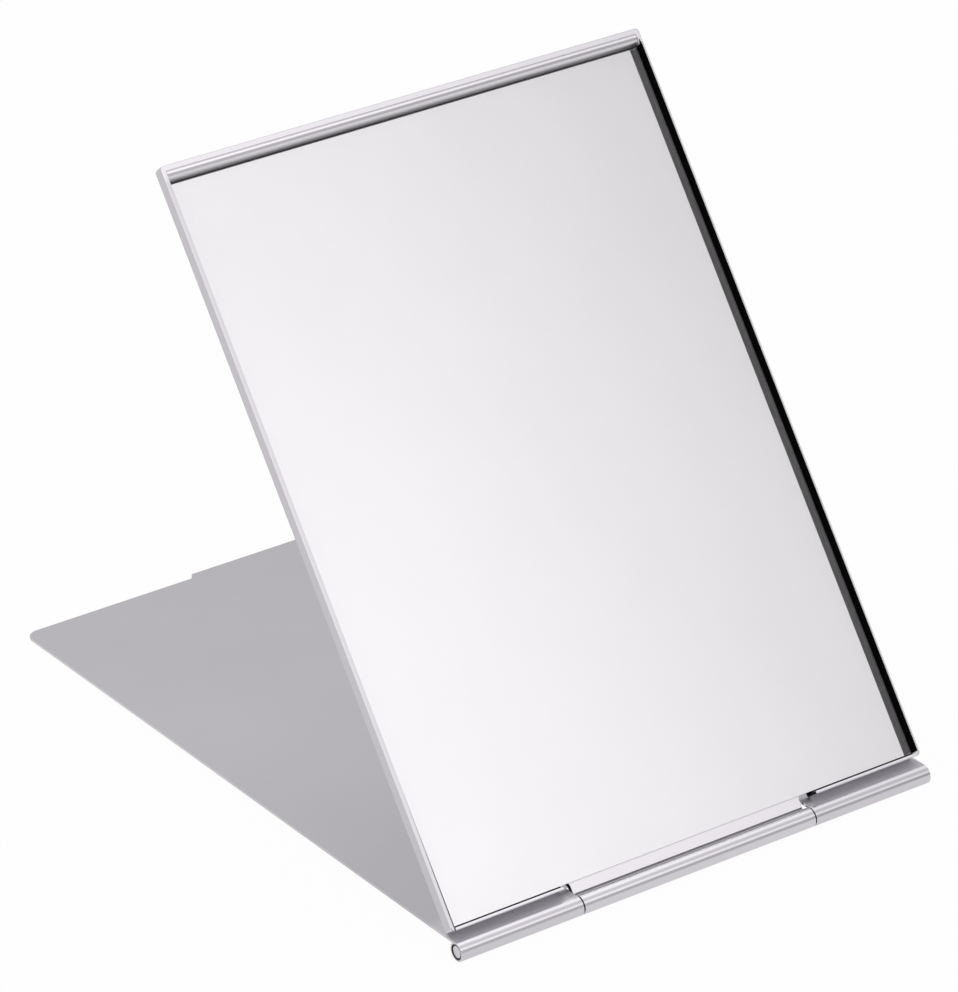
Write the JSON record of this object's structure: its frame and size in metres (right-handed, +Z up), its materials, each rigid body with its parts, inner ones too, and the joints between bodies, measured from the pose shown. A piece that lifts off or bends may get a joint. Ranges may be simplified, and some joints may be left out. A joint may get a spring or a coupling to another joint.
{
  "type": "folding travel mirror",
  "caption": "Folding travel mirror: a shallow metal tray with a plain glass, hinged along its bottom edge to a flat plate that is its stand when open and its lid when shut.",
  "frame": {"origin": "on the table, under the middle of the mirror as it stands", "axes": "+X along the hinge to the right of someone who looks into the mirror, +Y from the hinge to the free edge of the stand plate, +Z up; the mirror's face looks towards -Y and up"},
  "size_m": [0.12, 0.174, 0.1389],
  "materials": {
    "mirror_tray": "satin, fine brushing across the tray",
    "top_bar": "satin, smooth",
    "stand_plate": "satin, fine brushing along the plate",
    "mirror_glass": "clear, polished",
    "mirror_backing": "silvered",
    "bar_tape": "translucent tape",
    "left_tape": "translucent tape",
    "centre_tape": "translucent tape",
    "right_tape": "translucent tape",
    "left_edge_liner": "matt black",
    "right_edge_liner": "matt black",
    "top_edge_liner": "matt black",
    "left_bottom_strip": "matt black",
    "right_bottom_strip": "matt black",
    "hinge_pin": "turned steel",
    "left_end_bush": "turned face",
    "right_end_bush": "turned face",
    "left_friction_sleeve": "spring steel",
    "right_friction_sleeve": "spring steel"
  },
  "bodies": {
    "stand": {"stand_plate": "stand_plate", "hinge_pin": "hinge_pin", "left_end_bush": "left_end_bush", "right_end_bush": "right_end_bush"},
    "mirror": {"mirror_tray": "mirror_tray", "top_bar": "top_bar", "mirror_glass": "mirror_glass", "mirror_backing": "mirror_backing", "bar_tape": "bar_tape", "left_tape": "left_tape", "centre_tape": "centre_tape", "right_tape": "right_tape", "left_edge_liner": "left_edge_liner", "right_edge_liner": "right_edge_liner", "top_edge_liner": "top_edge_liner", "left_bottom_strip": "left_bottom_strip", "right_bottom_strip": "right_bottom_strip", "left_friction_sleeve": "left_friction_sleeve", "right_friction_sleeve": "right_friction_sleeve"}
  },
  "joints": [
    {"name": "hinge", "type": "hinge", "parent": "stand", "child": "mirror", "pos_m": [0, -0.08485, 0.0021], "axis": [1, 0, 0], "range_deg": [0, 305.7]}
  ]
}
